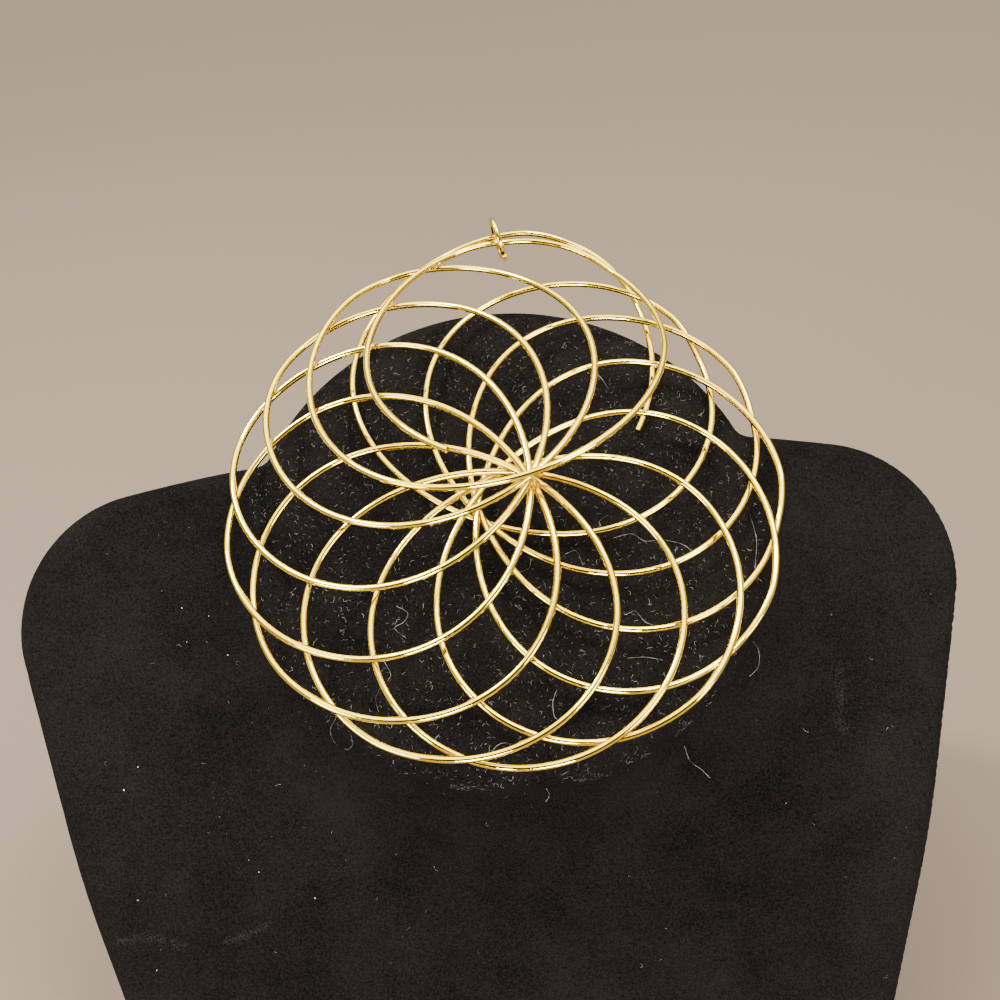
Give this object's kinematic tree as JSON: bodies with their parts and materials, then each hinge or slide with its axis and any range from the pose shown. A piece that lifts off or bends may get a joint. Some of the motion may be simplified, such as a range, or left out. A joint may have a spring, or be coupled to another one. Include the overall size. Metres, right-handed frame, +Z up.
{
  "type": "wire loop pendant on velvet neck bust",
  "caption": "Flower pendant coiled from one round gold-tone wire, with a jump ring, lying on the slanted neck face of a black velvet display bust.",
  "frame": {"origin": "on the floor under the middle of the whole", "axes": "+X to the bust's left, +Y to its back, +Z up"},
  "size_m": [0.201, 0.1514, 0.1801],
  "materials": {
    "velvet": "matte nap",
    "gold_wire": "polished",
    "gold_ring": "polished"
  },
  "bodies": {
    "root": {"neck_bust": "velvet", "wire_coil": "gold_wire", "jump_ring": "gold_ring"}
  },
  "joints": []
}
